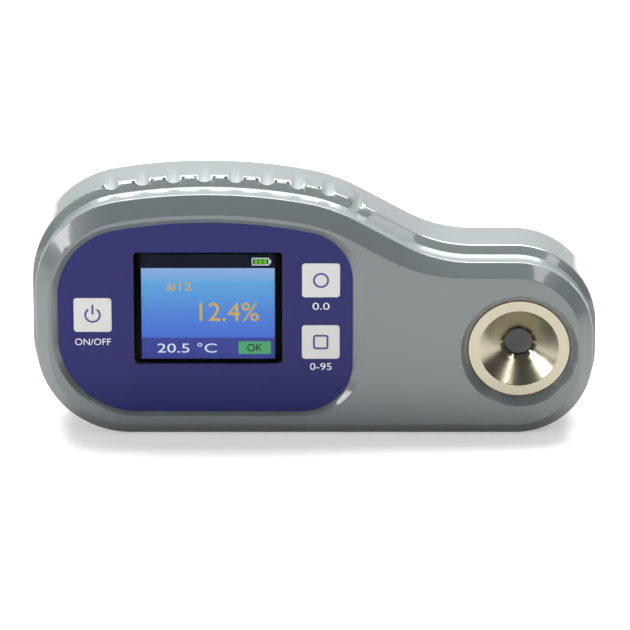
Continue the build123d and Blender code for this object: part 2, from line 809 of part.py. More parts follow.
# Steel dish with its seal and nut
with BuildPart() as sample_dish:
    turned(well_x, well_z, [
        (dish_radius, dish_face), (cone_radius, dish_face), (cone_hole_radius, cone_end),
        (cone_hole_radius, cone_end + cone_lip), (prism_pocket_radius, cone_end + cone_lip),
        (prism_pocket_radius, dish_back), (dish_neck_radius, dish_back),
        (dish_neck_radius, dish_face + dish_rim), (dish_radius, dish_face + dish_rim),
    ])
    fillet(sample_dish.edges().filter_by(GeomType.CIRCLE).group_by(Axis.Y)[0], dish_edge)
with BuildPart() as dish_seal:
    turned(well_x, well_z, [
        (dish_neck_radius + neck_gap, dish_face + dish_rim), (dish_radius, dish_face + dish_rim),
        (dish_radius, dish_seat), (dish_neck_radius + neck_gap, dish_seat),
    ])
with BuildPart() as dish_nut:
    turned(well_x, well_z, [
        (dish_neck_radius + bore_gap, nut_front), (nut_radius, nut_front),
        (nut_radius, nut_front + nut_height), (dish_neck_radius + bore_gap, nut_front + nut_height),
    ])
    with BuildSketch(at(nut_front + nut_height)):
        with Locations((well_x, well_z)):
            with PolarLocations(nut_radius, nut_slots, start_angle=45):
                Rectangle(2 * nut_slot_depth, nut_slot_width)
    extrude(amount=nut_height, mode=Mode.SUBTRACT)

# Prism and the seal round its face
with BuildPart() as prism_seal:
    turned(well_x, well_z, [
        (prism_seal_inner, cone_end + cone_lip), (prism_seal_outer, cone_end + cone_lip),
        (prism_seal_outer, prism_front), (prism_seal_inner, prism_front),
    ])


def prism_body(spare, height):
    """The prism's section, or the room for it, drawn out along Z."""
    half = prism_width / 2 + spare
    narrow = half - prism_run
    floor_plane = Plane(origin=(well_x, front_y, well_z - height / 2), x_dir=(1, 0, 0), z_dir=(0, 0, 1))
    with BuildPart() as body:
        with BuildSketch(floor_plane):
            with BuildLine():
                Polyline(
                    (-half, prism_front), (half, prism_front), (half, prism_mid),
                    (narrow, prism_back + spare), (-narrow, prism_back + spare), (-half, prism_mid),
                    close=True,
                )
            make_face()
        extrude(amount=height)
    return body


with BuildPart() as prism:
    add(prism_body(0, prism_height).part)


def light_plane(side, distance):
    """The plane square to the light, at a distance from the prism's side face."""
    lean = radians(90 - prism_angle)
    face_x = prism_width / 2 - prism_run / 2
    face_depth = (prism_mid + prism_back) / 2
    origin = (
        well_x + side * (face_x + distance * cos(lean)),
        front_y + face_depth + distance * sin(lean),
        well_z,
    )
    return Plane(origin=origin, x_dir=(0, 0, 1), z_dir=(side * cos(lean), sin(lean), 0))


# Moulded block that holds the prism, the lamp and the sensor in line
with BuildPart() as optics_block:
    plate(oblong(well_x, well_z, optics_width, optics_height), optics_front, optics_back)
    ears = oblong(well_x, well_z, ear_width, 2 * (ear_reach + ear_spare), ear_spare)
    plate(ears, ear_front, ear_back)
    plate(discs(ear_places, small_screw_radius + clearance_gap), ear_front, ear_back, Mode.SUBTRACT)
    add(prism_body(optics_gap, prism_height + 2 * optics_gap).part, mode=Mode.SUBTRACT)
    for side, bore in ((-1, led_radius), (1, lens_radius)):
        with BuildSketch(light_plane(side, light_path)):
            Circle(bore + optics_gap)
        extrude(amount=-light_path - optics_gap, mode=Mode.SUBTRACT)
        with BuildSketch(light_plane(side, light_path)):
            Rectangle(2 * optics_height, 2 * optics_width)
        extrude(amount=optics_width, mode=Mode.SUBTRACT)
    with BuildSketch(light_plane(1, light_path)):
        Rectangle(line_sensor_height + 2 * optics_gap, line_sensor_width + 2 * optics_gap)
    extrude(amount=-line_sensor_thickness - optics_gap, mode=Mode.SUBTRACT)
    with BuildSketch(light_plane(-1, light_path)):
        Circle(led_radius + led_flange + optics_gap)
    extrude(amount=-led_flange_height - optics_gap, mode=Mode.SUBTRACT)
    probe_reach = (prism_pocket_radius + dish_neck_radius) / 2
    probe_x = well_x + probe_reach * cos(radians(probe_angle))
    probe_z = well_z + probe_reach * sin(radians(probe_angle))
    probe_hole_end = dish_back + probe_length + probe_gap
    plate(discs([(probe_x, probe_z)], probe_radius + probe_gap), optics_front, probe_hole_end,
          Mode.SUBTRACT)

# Lamp, lens, sensor and their small boards
with BuildPart() as led_lamp:
    with BuildSketch(light_plane(-1, light_path)):
        Circle(led_radius + led_flange)
    extrude(amount=-led_flange_height)
    with BuildSketch(light_plane(-1, light_path)):
        Circle(led_radius)
    extrude(amount=-led_length)
    fillet(led_lamp.edges().sort_by(Axis.X)[-1], led_radius - led_flange)
with BuildPart() as led_board:
    with BuildSketch(light_plane(-1, light_path)):
        Rectangle(small_board_height, small_board_width)
    extrude(amount=small_board_thickness)
with BuildPart() as sensor_lens:
    with BuildSketch(light_plane(1, lens_from_prism)):
        Circle(lens_radius)
    extrude(amount=lens_thickness)
    fillet(sensor_lens.edges().group_by(Axis.X)[0], lens_crown)
with BuildPart() as line_sensor:
    with BuildSketch(light_plane(1, light_path)):
        Rectangle(line_sensor_height, line_sensor_width)
    extrude(amount=-line_sensor_thickness)
with BuildPart() as sensor_board:
    with BuildSketch(light_plane(1, light_path)):
        Rectangle(small_board_height, small_board_width)
    extrude(amount=small_board_thickness)
with BuildPart() as temperature_probe:
    plate(discs([(probe_x, probe_z)], probe_radius), dish_back, dish_back + probe_length)
with BuildPart() as optics_screws:
    add(screws(
        ear_places, ear_back, small_head_radius, small_head_height, small_screw_radius,
        small_screw_length,
    ).part)

# Sockets on the main board for the two ribbons, and the ribbons
plug_x = board_end - plug_size
plug_back = board_back + plug_height
lamp_plug_z = well_z - plug_spread
sensor_plug_z = well_z + plug_spread
with BuildPart() as ribbon_sockets:
    for plug_z in (lamp_plug_z, sensor_plug_z):
        plate(oblong(plug_x, plug_z, plug_size, small_ribbon_width), board_back, plug_back)


def light_point(side, distance):
    """The point on a side's light axis at a distance, as X and depth."""
    origin = light_plane(side, distance).origin
    return origin.X, origin.Y - front_y


def flat_ribbon(points, middle_z):
    """A flat cable along points of X and depth."""
    ribbon_plane = Plane(origin=(0, front_y, middle_z - small_ribbon_width / 2))
    with BuildPart() as ribbon:
        with BuildSketch(ribbon_plane):
            with BuildLine():
                FilletPolyline(*points, radius=ribbon_fold)
            trace(line_width=ribbon_thickness)
        extrude(amount=small_ribbon_width)
    return ribbon


outer_face = light_path + small_board_thickness
lamp_start, lamp_out = light_point(-1, outer_face), light_point(-1, outer_face + ribbon_rise)
sensor_start, sensor_out = light_point(1, outer_face), light_point(1, outer_face + ribbon_rise)
behind = optics_back + ribbon_behind
block_left, block_right = well_x - optics_width / 2, well_x + optics_width / 2
lamp_ribbon = flat_ribbon([lamp_start, lamp_out, (plug_x, lamp_out[1]), (plug_x, plug_back)], lamp_plug_z)
sensor_ribbon = flat_ribbon([
    sensor_start, sensor_out, (sensor_out[0], sensor_out[1] + ribbon_drop),
    (block_right - ribbon_corner, behind), (block_left + ribbon_corner, behind),
    (block_left - ribbon_corner, sensor_out[1] + ribbon_drop),
    (plug_x, sensor_out[1] + ribbon_drop), (plug_x, plug_back),
], sensor_plug_z)

parts = {
    "front_shell": front_shell,
    "rear_shell": rear_shell,
    "case_seal": case_seal,
    "case_screws": case_screws,
    "overlay_film": overlay_film,
    "window_pane": window_pane,
    "window_border": window_border,
    "display_cell": display_cell,
    "display_backlight": display_backlight,
    "display_tray": display_tray,
    "display_carrier": display_carrier,
    "display_ribbon": display_ribbon,
    "display_socket": display_socket,
    "main_board": main_board,
    "board_screws": board_screws,
    "microcontroller": microcontroller,
    "key_switches": key_switches,
    "battery_cell": battery_cell,
    "battery_spring": battery_spring,
    "negative_contact": negative_contact,
    "positive_contact": positive_contact,
    "battery_door": battery_door,
    "door_gasket": door_gasket,
    "door_screws": door_screws,
    "sample_dish": sample_dish,
    "dish_seal": dish_seal,
    "dish_nut": dish_nut,
    "prism": prism,
    "prism_seal": prism_seal,
    "optics_block": optics_block,
    "optics_screws": optics_screws,
    "led_lamp": led_lamp,
    "led_board": led_board,
    "sensor_lens": sensor_lens,
    "line_sensor": line_sensor,
    "sensor_board": sensor_board,
    "temperature_probe": temperature_probe,
    "ribbon_sockets": ribbon_sockets,
    "lamp_ribbon": lamp_ribbon,
    "sensor_ribbon": sensor_ribbon,
} | key_pieces

os.makedirs("parts", exist_ok=True)
for name, piece in parts.items():
    piece.part.label = name
    export_step(piece.part, f"parts/{name}.step")
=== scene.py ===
"""Looks for the digital refractometer: finishes, printed graphics, the lit screen, floor and light.

Everything is in metres in the part's own frame: X to the right, the screen looks along -Y, Z up.
"""

import json
from math import atan, cos, pi, radians, sin

import bmesh
import bpy
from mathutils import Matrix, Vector
from mathutils.bvhtree import BVHTree


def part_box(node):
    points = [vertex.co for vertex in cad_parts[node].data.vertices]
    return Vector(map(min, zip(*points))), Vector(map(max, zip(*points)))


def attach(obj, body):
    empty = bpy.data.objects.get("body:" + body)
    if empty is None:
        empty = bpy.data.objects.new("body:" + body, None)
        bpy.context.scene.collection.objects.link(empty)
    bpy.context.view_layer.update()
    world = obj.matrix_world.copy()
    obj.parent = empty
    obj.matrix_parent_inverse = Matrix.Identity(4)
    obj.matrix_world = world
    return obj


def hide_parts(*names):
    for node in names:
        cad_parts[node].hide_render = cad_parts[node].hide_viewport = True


MM = 0.001

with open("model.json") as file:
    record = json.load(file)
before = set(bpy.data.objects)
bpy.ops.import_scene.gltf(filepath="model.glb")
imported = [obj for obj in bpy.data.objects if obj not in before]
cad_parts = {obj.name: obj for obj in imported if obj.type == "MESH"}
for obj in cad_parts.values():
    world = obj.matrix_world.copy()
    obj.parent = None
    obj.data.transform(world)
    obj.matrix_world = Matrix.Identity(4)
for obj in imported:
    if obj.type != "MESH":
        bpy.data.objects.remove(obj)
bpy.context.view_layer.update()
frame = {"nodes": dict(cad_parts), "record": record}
nodes = frame["nodes"]


# Camera

IMAGE_WIDTH = 630  # pixels across the photograph, which is square
FOCAL_PIXELS = 5600.0
CAMERA_DISTANCE = 1200 * MM
CAMERA_RISE = radians(21.2)
CAMERA_TARGET = Vector((0.08 * MM, 0, 23.1 * MM))


def place_camera():
    """The photograph's view: far away, a little above, straight from the front."""
    camera = bpy.data.cameras.new("camera")
    camera.angle = 2 * atan(IMAGE_WIDTH / 2 / FOCAL_PIXELS)
    camera.clip_start = 100 * MM
    holder = bpy.data.objects.new("camera", camera)
    back = Vector((0, -cos(CAMERA_RISE), sin(CAMERA_RISE)))
    holder.location = CAMERA_TARGET + back * CAMERA_DISTANCE
    holder.rotation_euler = (pi / 2 - CAMERA_RISE, 0, 0)
    bpy.context.scene.collection.objects.link(holder)
    bpy.context.scene.camera = holder


# Shader building

def paint(code):
    """A linear colour from an sRGB hex code."""
    channels = [int(code[i:i + 2], 16) / 255 for i in (1, 3, 5)]
    linear = [c / 12.92 if c <= 0.04045 else ((c + 0.055) / 1.055) ** 2.4 for c in channels]
    return (*linear, 1.0)


def add(tree, kind, inputs=None, **settings):
    """A shader node with its settings; an input takes a value or another node's socket."""
    node = tree.nodes.new("ShaderNode" + kind)
    for name, value in settings.items():
        setattr(node, name, value)
    for name, value in (inputs or {}).items():
        if isinstance(value, bpy.types.NodeSocket):
            tree.links.new(value, node.inputs[name])
        else:
            node.inputs[name].default_value = value
    return node


def new_material(name):
    """An empty material, its tree and its Object coordinates."""
    material = bpy.data.materials.new(name)
    material.use_nodes = True
    tree = material.node_tree
    tree.nodes.clear()
    return material, tree, add(tree, "TexCoord").outputs["Object"]


def show(tree, surface):
    """Send a surface to the material's output."""
    add(tree, "OutputMaterial", {"Surface": surface})


def noise(tree, coords, size, detail=2.0):
    """Soft noise whose blotches are about the given size across, in metres."""
    settings = {"Vector": coords, "Scale": 1 / size, "Detail": detail}
    return add(tree, "TexNoise", settings).outputs["Fac"]


def mix_colours(tree, factor, low, high):
    """A colour between two colours or sockets."""
    first, second, result = 6, 7, 2  # the colour sockets of the Mix node
    return add(tree, "Mix", {0: factor, first: low, second: high}, data_type="RGBA").outputs[result]


def blend(tree, factor, low, high):
    """A colour between two hex codes."""
    return mix_colours(tree, factor, paint(low), paint(high))


def between(tree, factor, low, high):
    """A number between two values, for a factor from 0 to 1."""
    return add(tree, "MapRange", {"Value": factor, "To Min": low, "To Max": high}).outputs["Result"]


def relief(tree, height, depth):
    """A surface normal that follows a height from 0 to 1, over a depth in metres."""
    return add(tree, "Bump", {"Height": height, "Distance": depth}).outputs["Normal"]


def plain_finish(name, low, high, rough, grain, depth, blotch=6 * MM, **sockets):
    """A finish with a slight change of tint, uneven gloss and a fine grain."""
    material, tree, coords = new_material(name)
    soft = noise(tree, coords, blotch)
    fine = noise(tree, coords, grain)
    inputs = {
        "Base Color": blend(tree, soft, low, high),
        "Roughness": between(tree, soft, rough - 0.03, rough + 0.03),
        "Normal": relief(tree, fine, depth),
    }
    inputs.update({key.replace("_", " "): value for key, value in sockets.items()})
    show(tree, add(tree, "BsdfPrincipled", inputs).outputs["BSDF"])
    return material


# Finishes

def moulded_abs():
    """Grey ABS, moulded against a fine satin tool: soft sheen, faint grain, slightly uneven gloss."""
    return plain_finish(
        "moulded grey ABS", "#5d6465", "#61686a", 0.36, 0.6 * MM, 0.0015 * MM, 30 * MM,
        IOR=1.54, Coat_Weight=0.8, Coat_Roughness=0.08,
    )


def printed_film(name, low, high):
    """Polyester film printed from behind: smooth colour under a clear, faintly rippled front."""
    return plain_finish(
        name, low, high, 0.3, 0.9 * MM, 0.003 * MM, 14 * MM, IOR=1.5, Specular_IOR_Level=0.22,
    )


def print_ink(name, low, high):
    """Screen-printed ink: matt, with the slight mottle of the mesh."""
    return plain_finish(name, low, high, 0.5, 0.2 * MM, 0.003 * MM, 1 * MM)


def clear_pane():
    """Acrylic with an anti-reflection coat: clear and glossy, so it hardly mirrors the room."""
    material, tree, coords = new_material("coated acrylic pane")
    soft = noise(tree, coords, 10 * MM)
    show(tree, add(tree, "BsdfPrincipled", {
        "Base Color": blend(tree, soft, "#fbfcfd", "#ffffff"),
        "Roughness": between(tree, soft, 0.0, 0.02),
        "Transmission Weight": 1.0, "IOR": 1.1,
    }).outputs["BSDF"])
    return material


def optical_glass_painted_dark():
    """Polished flint glass of the prism and the lens, tinted dark brown: painted shade, which darkens the
    clear glass to the dimness of the black block and the well behind it.
    """
    material, tree, coords = new_material("flint glass with painted shade")
    soft = noise(tree, coords, 3 * MM)
    show(tree, add(tree, "BsdfPrincipled", {
        # painted shade: this dark brown stands for the dimness seen through the glass, not for a tint of
        # the glass itself
        "Base Color": blend(tree, soft, "#4e473e", "#585047"),
        "Roughness": between(tree, soft, 0.02, 0.05),
        "Transmission Weight": 0.9, "IOR": 1.5,
    }).outputs["BSDF"])
    return material


def metal(name, low, high, rough, grain, depth):
    """Bare metal with an uneven polish."""
    return plain_finish(name, low, high, rough, grain, depth, 2 * MM, Metallic=1.0)


def turned_steel():
    """Stainless steel turned on a lathe: fine rings about the well's axis, warm in the reflections."""
    material, tree, coords = new_material("turned stainless steel")
    low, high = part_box("sample_dish")
    middle = (low + high) / 2
    from_axis = add(tree, "VectorMath", {0: coords, 1: tuple(middle)}, operation="SUBTRACT")
    flat = add(tree, "VectorMath", {0: from_axis.outputs[0], 1: (1, 0, 1)}, operation="MULTIPLY")
    radius = add(tree, "VectorMath", {0: flat.outputs[0]}, operation="LENGTH").outputs["Value"]
    rings = add(
        tree, "TexNoise", {"W": radius, "Scale": 1 / (0.18 * MM), "Detail": 3.0}, noise_dimensions="1D"
    ).outputs["Fac"]
    soft = noise(tree, coords, 4 * MM)
    show(tree, add(tree, "BsdfPrincipled", {
        "Base Color": blend(tree, rings, "#9b9580", "#a8a290"),
        "Metallic": 1.0,
        "Roughness": between(tree, soft, 0.2, 0.27),
        "Anisotropic": 0.4,
        "Normal": relief(tree, rings, 0.004 * MM),
    }).outputs["BSDF"])
    return material


def board_laminate():
    """Glass-fibre board under green solder mask: the weave and the copper tracks show faintly."""
    material, tree, coords = new_material("green glass-fibre board")
    tracks = add(
        tree, "TexVoronoi", {"Vector": coords, "Scale": 1 / (2.4 * MM)},
        feature="DISTANCE_TO_EDGE", distance="MANHATTAN",
    ).outputs["Distance"]
    on_track = between(tree, tracks, 0.0, 1.0)
    weave = add(tree, "TexWave", {"Vector": coords, "Scale": 1 / (1.6 * MM)}, bands_direction="DIAGONAL")
    show(tree, add(tree, "BsdfPrincipled", {
        "Base Color": blend(tree, on_track, "#12633a", "#0c4427"),
        "Roughness": 0.35,
        "Normal": relief(tree, weave.outputs["Fac"], 0.01 * MM),
        "Coat Weight": 0.3,
    }).outputs["BSDF"])
    return material


LIT_BANDS = [  # height share of the lit area, from its foot, and the colour there
    (0.0, "#3a4390"), (0.185, "#3d4696"), (0.187, "#4a6cd2"), (0.45, "#5488d6"), (0.7, "#5fa4dc"),
    (0.853, "#8fb0dd"), (0.855, "#0a0c1c"), (1.0, "#080a18"),
]


def lit_display(low, high):
    """A lit colour liquid crystal screen: dark header, blue gradient, darker footer, fine pixel rows."""
    material, tree, coords = new_material("lit liquid crystal screen")
    height = add(tree, "SeparateXYZ", {0: coords}).outputs["Z"]
    share = add(tree, "MapRange", {"Value": height, "From Min": low, "From Max": high}).outputs["Result"]
    ramp = add(tree, "ValToRGB", {0: share})
    stops = ramp.color_ramp.elements
    stops[0].position, stops[0].color = LIT_BANDS[0][0], paint(LIT_BANDS[0][1])
    stops[1].position, stops[1].color = LIT_BANDS[-1][0], paint(LIT_BANDS[-1][1])
    for place, code in LIT_BANDS[1:-1]:
        stops.new(place).color = paint(code)
    rows = add(tree, "TexWave", {"Vector": coords, "Scale": 1 / (1.2 * MM)}, bands_direction="Z")
    dimming = between(tree, rows.outputs["Fac"], 0.0, 0.06)
    shown = mix_colours(tree, dimming, ramp.outputs["Color"], paint("#101428"))
    show(tree, add(tree, "BsdfPrincipled", {
        "Base Color": paint("#05060c"), "Roughness": 0.4, "Specular IOR Level": 0.02,
        "Emission Color": shown, "Emission Strength": 1.0,
    }).outputs["BSDF"])
    return material


def lit_ink(name, low, high):
    """A lit figure on the screen, with the slight unevenness of its pixels."""
    material, tree, coords = new_material(name)
    tone = blend(tree, noise(tree, coords, 0.4 * MM), low, high)
    show(tree, add(tree, "BsdfPrincipled", {
        "Base Color": paint("#05060c"), "Roughness": 0.4, "Specular IOR Level": 0.02,
        "Emission Color": tone, "Emission Strength": 1.0,
    }).outputs["BSDF"])
    return material


abs_grey = moulded_abs()
film_blue = printed_film("blue printed film", "#1a1a5c", "#1d1d61")
key_white = printed_film("white printed film", "#c6c7c4", "#cbccc9")
ink_navy = print_ink("navy ink", "#302f76", "#353480")
ink_pale = print_ink("pale grey ink", "#d3d4d6", "#dcdddf")
pane_clear = clear_pane()
border_black = plain_finish(
    "black printed border", "#040405", "#08080a", 0.3, 1 * MM, 0.002 * MM, Specular_IOR_Level=0.08,
)
cell_low, cell_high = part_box("display_cell")
LCD_MARGIN = 1.6 * MM
screen_lit = lit_display(cell_low.z + LCD_MARGIN, cell_high.z - LCD_MARGIN)
lit_amber = lit_ink("lit amber figures", "#c8a440", "#d2ae46")
lit_green = lit_ink("lit green fill", "#4a9a66", "#52a26e")
lit_bright_green = lit_ink("lit bright green", "#5fb020", "#66b828")
lit_white = lit_ink("lit white figures", "#c9d6ea", "#d4dff0")
nitrile = plain_finish("black nitrile rubber", "#17181a", "#202124", 0.62, 0.3 * MM, 0.02 * MM)
zinc_steel = metal("zinc-plated steel", "#8d9092", "#9c9fa1", 0.34, 0.2 * MM, 0.006 * MM)
tin_plate = metal("tin plate", "#b4b6b2", "#c6c8c4", 0.34, 0.5 * MM, 0.008 * MM)
spring_wire = metal("nickel-plated spring wire", "#c2bfb8", "#d3d0c9", 0.2, 0.3 * MM, 0.003 * MM)
nut_brass = metal("machined brass", "#b8964e", "#c9a85e", 0.28, 0.3 * MM, 0.006 * MM)
black_nylon = plain_finish("black moulded nylon", "#131416", "#1b1c1f", 0.5, 0.25 * MM, 0.01 * MM)
white_diffuser = plain_finish("white diffuser plastic", "#e6e6e2", "#f0f0ec", 0.45, 0.4 * MM, 0.004 * MM)
amber_flex = plain_finish(
    "amber polyimide film", "#a5601c", "#b4702a", 0.3, 0.8 * MM, 0.006 * MM, Coat_Weight=0.4,
)
cell_sleeve = plain_finish(
    "printed battery sleeve", "#2b3238", "#39424a", 0.26, 1 * MM, 0.003 * MM, Coat_Weight=0.5,
)
clear_epoxy = plain_finish(
    "yellow lamp epoxy", "#d8b75a", "#e4c86e", 0.12, 0.6 * MM, 0.002 * MM, Coat_Weight=0.5,
)
dish_steel = turned_steel()
flint_glass_painted_dark = optical_glass_painted_dark()
laminate = board_laminate()

FINISHES = {
    abs_grey: ["front_shell", "rear_shell", "battery_door"],
    film_blue: ["overlay_film"],
    key_white: ["power_key", "zero_key", "read_key"],
    pane_clear: ["window_pane"],
    border_black: ["window_border"],
    screen_lit: ["display_cell"],
    nitrile: ["case_seal", "door_gasket", "dish_seal", "prism_seal"],
    zinc_steel: ["case_screws", "board_screws", "door_screws", "optics_screws"],
    tin_plate: ["display_tray", "negative_contact", "positive_contact"],
    spring_wire: ["battery_spring"],
    nut_brass: ["dish_nut"],
    black_nylon: [
        "display_carrier", "display_socket", "microcontroller", "key_switches", "optics_block",
        "line_sensor", "temperature_probe", "ribbon_sockets", "power_plunger", "zero_plunger",
        "read_plunger", "power_switch_stem", "zero_switch_stem", "read_switch_stem",
    ],
    white_diffuser: ["display_backlight"],
    amber_flex: ["display_ribbon", "lamp_ribbon", "sensor_ribbon"],
    cell_sleeve: ["battery_cell"],
    clear_epoxy: ["led_lamp"],
    dish_steel: ["sample_dish"],
    flint_glass_painted_dark: ["prism", "sensor_lens"],
    laminate: ["main_board", "led_board", "sensor_board"],
}
for finish, names in FINISHES.items():
    for name in names:
        mesh = nodes[name].data
        mesh.materials.clear()
        mesh.materials.append(finish)


# Surfaces of the moulded and turned pieces

# The step where the rear shell stands out round the front shell
STEP_SPAN = 5 * MM  # longer edges on the step are halved, so that it can bend
STEP_CUTS = 6  # as many times as this
STEP_ROUNDING = 0.4 * MM  # the rounded edge of the step ends this far behind the seam
STEP_LEAN = 0.8  # the step goes back by this share of its height
STEP_INWARD = 0.15  # and its upper edge comes in by this share
SEAM_SLACK = 0.03 * MM  # room for rounding errors in depth
SEAM_INSET = 0.75 * MM  # the step's foot lies this far inside the front shell's wall
SEAM_CLOSED = 0.1 * MM  # the foot comes forward by this, so that the seam is a hairline
WALL_TILT = 0.3  # the front shell's walls face along Y by less than this
MIDDLE_LEFT, MIDDLE_RIGHT = 0.5, 0.7  # ends of the case's middle line, as shares of its half length
MIDDLE_HEIGHT = 0.4  # and its height, as a share of the front shell's
FLAT = 0.9999  # a face that faces along an axis by this much is flat

body_of = {name: body for body, names in frame["record"]["behaviour"]["bodies"].items() for name in names}


def link_piece(name, mesh, finish, body):
    """Put a mesh in the scene as a piece that rides on a body."""
    mesh.materials.clear()
    mesh.materials.append(finish)
    piece = bpy.data.objects.new(name, mesh)
    bpy.context.scene.collection.objects.link(piece)
    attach(piece, body)
    return piece


def slope_step(shape):
    """Lean the rear shell's step back and in, by its distance from the front shell's outer wall."""
    low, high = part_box("front_shell")
    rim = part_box("case_seal")[1].y

    def outward(place):
        """From the case's long middle line to this place."""
        nearest_x = min(max(place.x, low.x * MIDDLE_LEFT), high.x * MIDDLE_RIGHT)
        return Vector((place.x - nearest_x, 0, place.z - high.z * MIDDLE_HEIGHT))

    front = bmesh.new()
    front.from_mesh(nodes["front_shell"].data)
    front.normal_update()
    inner = [
        face for face in front.faces
        if abs(face.normal.y) > WALL_TILT or face.normal.dot(outward(face.calc_center_median())) <= 0
    ]
    bmesh.ops.delete(front, geom=inner, context="FACES")
    wall = BVHTree.FromBMesh(front)
    front.free()

    def on_step(v):
        """Whether a vertex lies on the step or on its rounded edge."""
        return rim - SEAM_SLACK < v.co.y < rim + STEP_ROUNDING

    for _ in range(STEP_CUTS):
        long = [e for e in shape.edges if e.calc_length() > STEP_SPAN and all(on_step(v) for v in e.verts)]
        bmesh.ops.subdivide_edges(shape, edges=long, cuts=1)
        bmesh.ops.triangulate(shape, faces=[face for face in shape.faces if len(face.verts) > 3])
    for v in filter(on_step, shape.verts):
        place = Vector((v.co.x, rim - STEP_ROUNDING, v.co.z))
        near, normal = wall.find_nearest(place)[:2]
        height = (place - near).dot(normal)
        if height > -SEAM_INSET:
            v.co.y += STEP_LEAN * height - SEAM_CLOSED
            v.co -= STEP_INWARD * max(height, 0) * normal


def hold_flat(mesh, angle):
    """Keep flat faces flat: their corners, and those of roundings beside them, take the face's normal."""
    flat = {}
    for face in mesh.polygons:
        if abs(face.normal.y) > FLAT or face.normal.z < -FLAT:
            for v in face.vertices:
                flat[v] = face.normal.copy()
    normals = [Vector(corner.vector) for corner in mesh.corner_normals]
    for face in mesh.polygons:
        for i, v in zip(face.loop_indices, face.vertices):
            if v in flat and face.normal.dot(flat[v]) > cos(radians(angle)):
                normals[i] = flat[v]
    mesh.normals_split_custom_set(normals)


def smoothed(name, angle=32):
    """A node's own shape with one skin: roundings shade smoothly and flat faces stay flat."""
    source = nodes[name]
    shape = bmesh.new()
    shape.from_mesh(source.data)
    bmesh.ops.remove_doubles(shape, verts=shape.verts, dist=0.001 * MM)
    if name == "rear_shell":
        slope_step(shape)
    mesh = bpy.data.meshes.new(name + "_skin")
    shape.to_mesh(mesh)
    shape.free()
    mesh.shade_smooth()
    mesh.set_sharp_from_angle(angle=radians(angle))
    raw = bpy.data.objects.new(name + "_raw", mesh)
    bpy.context.scene.collection.objects.link(raw)
    flatness = raw.modifiers.new("flat faces", "WEIGHTED_NORMAL")
    flatness.keep_sharp = True
    finished = bpy.data.meshes.new_from_object(raw.evaluated_get(bpy.context.evaluated_depsgraph_get()))
    bpy.data.objects.remove(raw)
    hold_flat(finished, angle)
    piece = link_piece(name + "_skin", finished, source.data.materials[0], body_of[name])
    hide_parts(name)


for name in ("rear_shell", "front_shell", "battery_door", "sample_dish"):
    smoothed(name)


# Legs of the microcontroller

LEG_PITCH = 0.8 * MM
LEG_WIDTH = 0.35 * MM
LEG_REACH = 0.7 * MM  # how far a leg stands out from the chip's side


def leg_tree(finish):
    """Geometry Nodes: two facing rows of small legs, from their number, spacing and size."""
    tree = bpy.data.node_groups.new("rows of legs", "GeometryNodeTree")
    face = tree.interface
    face.new_socket("Geometry", in_out="OUTPUT", socket_type="NodeSocketGeometry")
    kinds = {"Legs": "Int", "Pitch": "Vector", "First": "Vector", "Across": "Vector", "Size": "Vector"}
    for name, kind in kinds.items():
        face.new_socket(name, in_out="INPUT", socket_type="NodeSocket" + kind)
    given = tree.nodes.new("NodeGroupInput").outputs

    def node(kind, inputs):
        """A geometry node with its inputs set or linked; gives its first output."""
        made = tree.nodes.new("GeometryNode" + kind)
        for name, value in inputs.items():
            if isinstance(value, bpy.types.NodeSocket):
                tree.links.new(value, made.inputs[name])
            else:
                made.inputs[name].default_value = value
        return made.outputs[0]

    leg = node("MeshCube", {"Size": given["Size"]})
    row_line = node("MeshLine", {
        "Count": given["Legs"], "Start Location": given["First"], "Offset": given["Pitch"],
    })
    legs = node("InstanceOnPoints", {"Points": row_line, "Instance": leg})
    row = node("RealizeInstances", {"Geometry": legs})
    side_line = node("MeshLine", {"Count": 2, "Offset": given["Across"]})
    rows = node("InstanceOnPoints", {"Points": side_line, "Instance": row})
    both_rows = node("RealizeInstances", {"Geometry": rows})
    done = node("SetMaterial", {"Geometry": both_rows, "Material": finish})
    tree.links.new(done, tree.nodes.new("NodeGroupOutput").inputs[0])
    return tree


def chip_legs():
    """The legs of the microcontroller: two rows along its long sides, down to the board."""
    low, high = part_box("microcontroller")
    board_low, board_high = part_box("main_board")
    count = int((high.x - low.x - LEG_PITCH) / LEG_PITCH)
    first_x = (low.x + high.x) / 2 - (count - 1) * LEG_PITCH / 2
    chip_middle = (low.y + high.y) / 2
    on_back = low.y > (board_low.y + board_high.y) / 2
    near, far = (board_high.y, chip_middle) if on_back else (chip_middle, board_low.y)
    values = {
        "Legs": count,
        "Pitch": (LEG_PITCH, 0, 0),
        "First": (first_x, (near + far) / 2, low.z - LEG_REACH / 2),
        "Across": (0, 0, high.z - low.z + LEG_REACH),
        "Size": (LEG_WIDTH, far - near, LEG_REACH),
    }
    holder = bpy.data.objects.new("legs_raw", bpy.data.meshes.new("legs_raw"))
    bpy.context.scene.collection.objects.link(holder)
    tree = leg_tree(tin_plate)
    modifier = holder.modifiers.new("legs", "NODES")
    modifier.node_group = tree
    for socket in tree.interface.items_tree:
        if socket.in_out == "INPUT":
            modifier[socket.identifier] = values[socket.name]
    mesh = bpy.data.meshes.new_from_object(holder.evaluated_get(bpy.context.evaluated_depsgraph_get()))
    bpy.data.objects.remove(holder)
    mesh.name = "microcontroller_legs"
    link_piece("microcontroller_legs", mesh, tin_plate, "case")


chip_legs()


# Printed and lit graphics

INK = 0.02 * MM  # an ink layer stands this far off what it is printed on


def circle(x, z, radius, start=0, end=360, count=48):
    """Points of an arc, in degrees from level, seen from the front."""
    whole = end - start == 360
    steps = count if whole else count - 1
    angles = [radians(start + (end - start) * i / steps) for i in range(count)]
    return [(x + radius * cos(a), z + radius * sin(a)) for a in angles]


